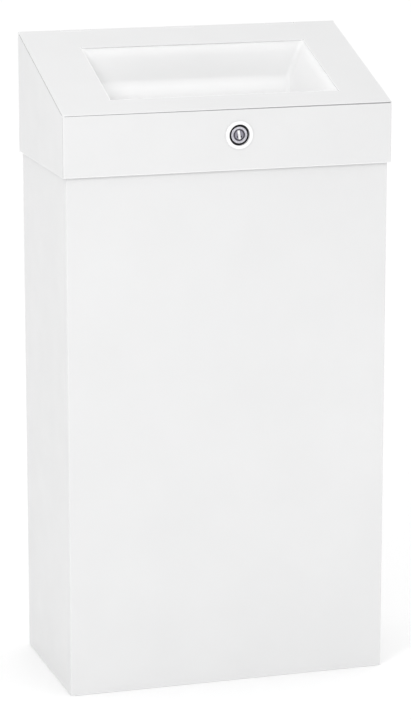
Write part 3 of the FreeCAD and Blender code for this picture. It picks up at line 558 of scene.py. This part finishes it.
def chute_ring(work, grow, depth):
    """Ring of points of the chute's rounded rectangle at a depth below the sloping top."""
    held = min(depth, OUTLET_DEPTH)
    sides = SIDE_LEAN * held
    left = MOUTH["left"] - grow + sides
    right = MOUTH["right"] + grow - sides
    front = MOUTH["front"] - grow + END_LEAN * held
    rear = MOUTH["rear"] + grow - eased_lean(held, END_LEAN, DEFLECTOR_LEAN)
    corner = CHUTE_CORNER + max(0.0, min(grow - MOUTH_STEP, HEM_WIDTH + GAUGE))
    ring = []
    middles = (
        (right - corner, rear - corner, 0), (left + corner, rear - corner, 90),
        (left + corner, front + corner, 180), (right - corner, front + corner, 270),
    )
    for across, along, begin in middles:
        for step in range(CORNER_STEPS + 1):
            angle = math.radians(begin + 90 * step / CORNER_STEPS)
            ring.append(work.verts.new(on_slope(
                across + corner * math.cos(angle), along + corner * math.sin(angle), depth,
            )))
    return ring


def build_chute():
    """Drop chute: flange under the cover, eased fold above the outlet, rolled hem below."""
    inside = MOUTH_STEP
    outside = MOUTH_STEP + GAUGE
    levels = [FOLD_DEPTH + FOLD_SOFTNESS * step / 4 for step in range(-4, 5)]
    bottom = OUTLET_DEPTH + HEM_HEIGHT
    hem = outside + HEM_WIDTH
    lip, row, shoulder = 0.0003, 0.012, 0.006
    hem_round, fillet, sheared = 0.0011, 0.0012, 0.0002
    section = [(inside + lip, GAUGE), (inside, GAUGE + lip), (inside, row), (inside, 2 * row)]
    section += [(inside, level) for level in levels]
    section += [(inside, OUTLET_DEPTH)]
    section += softened([
        (inside, OUTLET_DEPTH + 0.0005, 0), (inside, bottom, hem_round),
        (hem, bottom, hem_round), (hem, OUTLET_DEPTH, 0.0009), (outside, OUTLET_DEPTH, 0),
    ])
    section += [(outside, level) for level in reversed(levels)]
    flange = inside + CHUTE_FLANGE
    section += softened([
        (outside, shoulder, 0), (outside, 2 * GAUGE, fillet), (flange, 2 * GAUGE, sheared),
        (flange, GAUGE, sheared), (inside + fillet, GAUGE, 0),
    ])
    work = bmesh.new()
    join_rings(work, [chute_ring(work, *place) for place in section], closed=True)
    new_piece("chute", finish_mesh(work, "chute_mesh", sharp=60))


# ---------------------------------------------------------------- lock

def build_cup():
    """White trim cup with a rolled flange, and its floor behind the lock's head painted near-black
    as shade.
    """
    rim, outer, inner, hole = 0.014, 0.0114, 0.0106, 0.0079
    proud, back = 0.0018, CUP_SEAT + GAUGE
    dark_from, dark_to = 0.0018, 0.0052
    profile = softened([
        (-proud, inner, 0.0004), (-proud, rim, 0.0009), (0, rim, 0.0001), (0, outer, 0),
        (back, outer, 0.0002), (back, hole, 0.0002), (CUP_SEAT, hole, 0.0002),
        (CUP_SEAT, inner, 0.0004), (dark_from, inner, 0),
    ], closed=True)
    mesh = turned_mesh("cup_mesh", profile, LOCK, steps=96)
    piece = new_piece("lock_cup", mesh, ("lock_trim", "recess"))
    # Faces of the cup's floor behind the head take the near-black painted shade.
    for polygon in piece.data.polygons:
        if dark_from < polygon.center.y - LOCK.y < dark_to:
            polygon.material_index = 1


def thread(start, end, radius, depth):
    """Profile points of a rolled thread, crest to root, between two places."""
    count = int((end - start) / THREAD_PITCH)
    points = []
    for step in range(count):
        crest = start + step * THREAD_PITCH
        points += [(crest, radius, 0), (crest + THREAD_PITCH / 2, radius - depth, 0)]
    return points


def build_housing():
    """Head with a grooved face ring and a threaded barrel with two flats."""
    head, bore, proud = 0.0083, 0.0063, 0.0003
    groove = [(-proud, 0.0072, 0), (-0.00005, 0.00735, 0), (-proud, 0.0075, 0)]
    corners = [(-0.0001, bore, 0.0001), (-proud, 0.0068, 0.0001), *groove]
    corners += [(-proud, head, 0.0005), (CUP_SEAT, head, 0.0001), (CUP_SEAT, BARREL_RADIUS, 0)]
    corners += thread(0.0057, BARREL_END - 0.0005, BARREL_RADIUS, 0.0003)
    corners += [(BARREL_END, BARREL_RADIUS - 0.0004, 0), (BARREL_END, bore, 0)]
    barrel = turned_mesh("housing_mesh", softened(corners, closed=True), LOCK, steps=96)
    half_flats, flats_from, wide = 0.007, 0.0115, 0.02
    rear_part = block_mesh(
        "rear_part", (LOCK.x - wide, LOCK.y + flats_from, LOCK.z - half_flats),
        (LOCK.x + wide, LOCK.y + 0.03, LOCK.z + half_flats),
    )
    front_part = block_mesh(
        "front_part", (LOCK.x - wide, LOCK.y - 0.01, LOCK.z - wide),
        (LOCK.x + wide, LOCK.y + flats_from, LOCK.z + wide),
    )
    outline = carve(rear_part, [front_part], "UNION")
    new_piece("lock_housing", carve(barrel, [outline], "INTERSECT"))


def build_plug():
    """Plug with ringed face, leaning keyway, its shutter painted as a bright glint, and the square
    for the cam.
    """
    radius, face, ring_floor, proud = 0.00625, 0.0002, 0.0009, 0.0001
    profile = softened([
        (face, 0, 0), (face, 0.0046, 0.0001), (ring_floor, 0.0047, 0), (ring_floor, 0.0054, 0),
        (-proud, 0.0056, 0.0001), (-proud, radius, 0.0003), (BARREL_END, radius, 0.0002),
        (BARREL_END, 0, 0),
    ])
    body = turned_mesh("plug_body", profile, LOCK, steps=96)
    half_square = 0.0035
    square = block_mesh(
        "square", (LOCK.x - half_square, LOCK.y + BARREL_END - 0.0008, LOCK.z - half_square),
        (LOCK.x + half_square, LOCK.y + BARREL_END + 0.002, LOCK.z + half_square),
    )
    mesh = carve(body, [square], "UNION")
    lean = Matrix.Rotation(-KEYWAY_LEAN, 4, "Y")
    half_width, half_height, before = 0.0012, 0.0045, -0.002
    tools = [block_mesh(
        "keyway", (LOCK.x - half_width, LOCK.y + before, LOCK.z - half_height),
        (LOCK.x + half_width, LOCK.y + KEYWAY_FLOOR, LOCK.z + half_height), -KEYWAY_LEAN,
    )]
    pit_floor = 0.0016
    pit = [(before, 0), (before, PIT_RADIUS), (pit_floor, PIT_RADIUS), (pit_floor, 0)]
    for across, up in PIT_PLACES:
        place = LOCK + lean @ Vector((across, 0, up))
        tools.append(turned_mesh("pit", pit, place, steps=16))
    piece = new_piece("lock_plug", carve(mesh, tools), ("plug_face", "shutter", "recess"))
    shutter_reach, shutter_rise, shutter_from, shutter_to = 0.00122, 0.0046, 0.00021, 0.0007
    # Painted shade: faces in the face ring's groove, the keyway's sides and the pits take the
    # near-black finish.
    dark_from, dark_to, dark_radius = 0.00025, 0.0055, 0.0055
    for polygon in piece.data.polygons:
        spot = lean.inverted() @ (polygon.center - LOCK)
        if spot.y > dark_to:
            continue
        in_slot = abs(spot.x) < shutter_reach and abs(spot.z) < shutter_rise
        # The shutter's faces in the keyway's floor take the bright white painted glint.
        if in_slot and shutter_from < spot.y < shutter_to:
            polygon.material_index = 1
        elif spot.y > dark_from and math.hypot(spot.x, spot.z) < dark_radius:
            polygon.material_index = 2


def build_nut():
    """Hexagon nut with chamfered corners, threaded on the barrel."""
    low, high = (Vector(corner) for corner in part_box("lock_nut"))
    half_flats = (high.z - low.z) / 2
    corner = half_flats / math.cos(math.radians(30))
    start, end = low.y - LOCK.y, high.y - LOCK.y
    work = bmesh.new()
    rings = []
    for along in (low.y, high.y):
        rings.append([
            work.verts.new((
                LOCK.x + corner * math.cos(math.radians(60 * step)), along,
                LOCK.z + corner * math.sin(math.radians(60 * step)),
            ))
            for step in range(6)
        ])
    join_rings(work, rings, closed=False)
    work.faces.new(rings[0])
    work.faces.new(rings[1])
    hexagon = finish_mesh(work, "hexagon")
    bore, chamfer, sink = 0.00785, 0.0009, 0.0005
    past = corner + 0.0001
    profile = softened([
        (start, bore + sink, 0), (start, half_flats, 0), (start + chamfer, past, 0),
        (end - chamfer, past, 0), (end, half_flats, 0), (end, bore + sink, 0),
        (end - sink, bore, 0), (start + sink, bore, 0),
    ], closed=True)
    ring = turned_mesh("nut_ring", profile, LOCK)
    new_piece("lock_nut", carve(hexagon, [ring], "INTERSECT"))


def build_washer(node, bore):
    """Flat washer with its sheared edge a little rounded."""
    low, high = (Vector(corner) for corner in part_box(node))
    start, end, radius = low.y - LOCK.y, high.y - LOCK.y, (high.x - low.x) / 2
    profile = softened([
        (start, bore, 0.0001), (start, radius, 0.0002), (end, radius, 0.0001), (end, bore, 0.0001),
    ], closed=True, steps=2)
    new_piece(node, turned_mesh(f"{node}_mesh", profile, LOCK))


def build_cam_screw():
    """Domed screw with a straight slot and a threaded shank."""
    low, high = (Vector(corner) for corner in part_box("lock_cam_screw"))
    head = (high.x - low.x) / 2
    top, tip = high.y - LOCK.y, low.y - LOCK.y
    under, shank, crown = top - 0.0022, 0.0016, 0.0016
    corners = [(tip, 0, 0), (tip, 0.0012, 0)]
    corners += thread(tip + 0.0005, under - 0.0004, shank, 0.0002)
    corners += [(under, shank, 0), (under, head, 0.0002), (top, head, crown), (top, 0, 0)]
    slot_depth, half_slot, half_length = 0.0008, 0.0005, 0.006
    slot = block_mesh(
        "slot", (LOCK.x - half_length, high.y - slot_depth, LOCK.z - half_slot),
        (LOCK.x + half_length, high.y + 0.002, LOCK.z + half_slot),
    )
    mesh = turned_mesh("screw_mesh", softened(corners), LOCK, steps=40)
    new_piece("lock_cam_screw", carve(mesh, [slot]))


# ---------------------------------------------------------------- hinge, rivets, rim

def solids_of(node):
    """Boxes of a node's separate solids, as (lowest, highest) corners."""
    work = clean_copy(node)
    left = set(work.verts)
    boxes = []
    while left:
        group, edge = set(), [left.pop()]
        while edge:
            vertex = edge.pop()
            group.add(vertex)
            for link in vertex.link_edges:
                other = link.other_vert(vertex)
                if other in left:
                    left.discard(other)
                    edge.append(other)
        boxes.append(tuple(
            Vector([pick(vertex.co[axis] for vertex in group) for axis in range(3)])
            for pick in (min, max)
        ))
    work.free()
    return sorted(boxes, key=lambda box: tuple(round(part, 5) for part in box[0]))


def build_rivets(node, axis):
    """Blind rivets: domed heads with a drawn mandrel dimple."""
    index = "xyz".index(axis)
    shank, dome, dimple_depth, dimple_radius = 0.0016, 0.0012, 0.0003, 0.0006
    work = bmesh.new()
    for low, high in solids_of(node):
        middle = (low + high) / 2
        half = (high[index] - low[index]) / 2
        head = (high[(index + 1) % 3] - low[(index + 1) % 3]) / 2
        inner = half - dome
        dimple = dimple_depth - half
        profile = softened([
            (dimple, 0, 0), (dimple, dimple_radius, 0), (-half, 0.0009, 0.0002),
            (-half, head * 0.6, 0.0009), (-inner, head, 0.0004), (-inner, shank, 0),
            (inner, shank, 0), (inner, head, 0.0004), (half, head * 0.6, 0.0009), (half, 0, 0),
        ])
        turn(work, profile, middle, axis, 32)
    new_piece(node, finish_mesh(work, f"{node}_mesh"))


def build_hinge_pin():
    """Drawn pin with rounded ends."""
    low, high = (Vector(corner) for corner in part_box("hinge_pin"))
    middle = (low + high) / 2
    half, radius = (high.x - low.x) / 2, (high.z - low.z) / 2
    profile = softened([
        (-half, 0, 0), (-half, radius, 0.0004), (half, radius, 0.0004), (half, 0, 0),
    ])
    new_piece("hinge_pin", turned_mesh("hinge_pin_mesh", profile, middle, "x", 32))


def build_buffers():
    """Moulded rubber buffers with a tapered wall and a shallow dish on top."""
    dish_depth, draft = 0.0007, 0.0009
    work = bmesh.new()
    for low, high in solids_of("rim_buffers"):
        middle = Vector(((low.x + high.x) / 2, (low.y + high.y) / 2, low.z))
        radius, height = (high.x - low.x) / 2, high.z - low.z
        profile = softened([
            (0, 0, 0), (0, radius, 0.0003), (height * 0.45, radius - 0.0001, 0.0008),
            (height, radius - draft, 0.0008), (height, 0.0022, 0.0003),
            (height - dish_depth, 0.0016, 0.0003), (height - dish_depth, 0, 0),
        ])
        turn(work, profile, middle, "z", 48)
    new_piece("rim_buffers", finish_mesh(work, "rim_buffers_mesh"))


def build_bag_frame():
    """Bent wire loop with a bead where its ends are butt-welded at the rear."""
    low, high = (Vector(corner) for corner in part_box("bag_frame"))
    left, right = low.x + WIRE_RADIUS, high.x - WIRE_RADIUS
    front, rear = low.y + WIRE_RADIUS, high.y - WIRE_RADIUS
    height = (low.z + high.z) / 2
    route = []
    middles = (
        (right - WIRE_BEND, rear - WIRE_BEND, 0), (left + WIRE_BEND, rear - WIRE_BEND, 90),
        (left + WIRE_BEND, front + WIRE_BEND, 180), (right - WIRE_BEND, front + WIRE_BEND, 270),
    )
    bend_steps, wire_sides = 12, 24
    for x, y, begin in middles:
        for step in range(bend_steps + 1):
            angle = math.radians(begin + 90 * step / bend_steps)
            across, along = x + WIRE_BEND * math.cos(angle), y + WIRE_BEND * math.sin(angle)
            route.append(Vector((across, along, height)))
        if begin == 0:
            for share in (1, 0.5, 0, -0.5, -1):
                route.append(Vector((share * WELD_REACH, rear, height)))
    work = bmesh.new()
    rings = []
    for index, point in enumerate(route):
        heading = (route[(index + 1) % len(route)] - route[index - 1]).normalized()
        outward = heading.cross(Vector((0, 0, 1)))
        weld = abs(point.x) < WELD_REACH * 1.05 and point.y > 0
        swell = WELD_SWELL * math.cos(point.x / WELD_REACH * math.pi / 2) if weld else 0.0
        ring = []
        for step in range(wire_sides):
            angle = math.tau * step / wire_sides
            lift = outward * math.cos(angle) + Vector((0, 0, 1)) * math.sin(angle)
            reach = WIRE_RADIUS + swell * max(0.0, -outward.y * math.cos(angle))
            ring.append(work.verts.new(point + lift * reach))
        rings.append(ring)
    join_rings(work, rings, closed=True)
    new_piece("bag_frame", finish_mesh(work, "bag_frame_mesh"))


# ---------------------------------------------------------------- studio

def pale_floor():
    """Wide matt floor, a hair below the bin so that the two don't flicker."""
    gap = 0.0003
    surface = Surface("studio_floor", (0.98, 0.98, 0.98), 0.75)
    mottle = surface.noise(3, 3)
    surface.colour(surface.tint(mottle, (0.98, 0.98, 0.98), (0.972, 0.972, 0.972)))
    work = bmesh.new()
    bmesh.ops.create_grid(work, x_segments=8, y_segments=8, size=40)
    floor = bpy.data.objects.new("studio_floor", finish_mesh(work, "floor_mesh"))
    floor.location.z = LOWEST.z - gap
    floor.data.materials.append(surface.material)
    bpy.context.scene.collection.objects.link(floor)


def softbox(name, place, target, width, height, watts):
    """Rectangular light that faces its target."""
    data = bpy.data.lights.new(name, "AREA")
    data.shape = "RECTANGLE"
    data.size = width
    data.size_y = height
    data.energy = watts
    lamp = bpy.data.objects.new(name, data)
    lamp.location = place
    lamp.rotation_euler = (Vector(target) - Vector(place)).to_track_quat("-Z", "Y").to_euler()
    bpy.context.scene.collection.objects.link(lamp)


def studio():
    """Nearly even bright sky, three soft lights in front of the bin, and the camera."""
    world = bpy.data.worlds.new("studio")
    world.use_nodes = True
    background = world.node_tree.nodes["Background"]
    background.inputs["Color"].default_value = (1, 1, 1, 1)
    direction = world.node_tree.nodes.new("ShaderNodeTexCoord")
    lean = world.node_tree.nodes.new("ShaderNodeVectorMath")
    lean.operation = "DOT_PRODUCT"
    world.node_tree.links.new(direction.outputs["Generated"], lean.inputs[0])
    lean.inputs[1].default_value = SKY_LEAN
    level = world.node_tree.nodes.new("ShaderNodeMath")
    level.operation = "ADD"
    world.node_tree.links.new(lean.outputs["Value"], level.inputs[0])
    level.inputs[1].default_value = SKY_LEVEL
    world.node_tree.links.new(level.outputs["Value"], background.inputs["Strength"])
    scene = bpy.context.scene
    scene.world = world
    scene.view_settings.view_transform = "Standard"
    middle = (LOWEST + HIGHEST) / 2
    softbox("key_left", (-0.8, -0.95, 1.2), middle, 0.3, 0.3, 3.6)
    softbox("low_left", (-0.4, -0.75, 0.12), (-0.05, 0, 0.15), 0.3, 0.3, 0.22)
    softbox("low_right", (0.45, -0.8, 0.1), (0.15, 0, 0.05), 0.3, 0.2, 0.22)
    camera_data = bpy.data.cameras.new("camera")
    camera_data.sensor_width = 36
    camera_data.lens = CAMERA_LENS
    camera_data.clip_end = 200
    camera = bpy.data.objects.new("camera", camera_data)
    camera.location = CAMERA_PLACE
    camera.rotation_euler = [math.radians(angle) for angle in CAMERA_TURN]
    scene.collection.objects.link(camera)
    scene.camera = camera


EDGE_ROUNDS = {
    "body_shell": 0.00025, "back_panel": 0.0002, "base_panel": 0.0002, "hinge_leaf": 0.00012,
    "lock_keeper": 0.0002, "bag_frame_clips": 0.00015, "lid_stop_left": 0.0002,
    "lid_stop_right": 0.0002, "lock_wafers": 0.00006, "lock_cam": 0.0002,
}
for node, width in EDGE_ROUNDS.items():
    refined(node, width)
build_cover()
build_chute()
build_cup()
build_housing()
build_plug()
build_nut()
build_washer("lock_washer", 0.0079)
build_washer("lock_cam_washer", 0.0017)
build_cam_screw()
build_rivets("hinge_rivets", "y")
build_rivets("keeper_rivets", "z")
build_hinge_pin()
build_buffers()
build_bag_frame()
pale_floor()
studio()
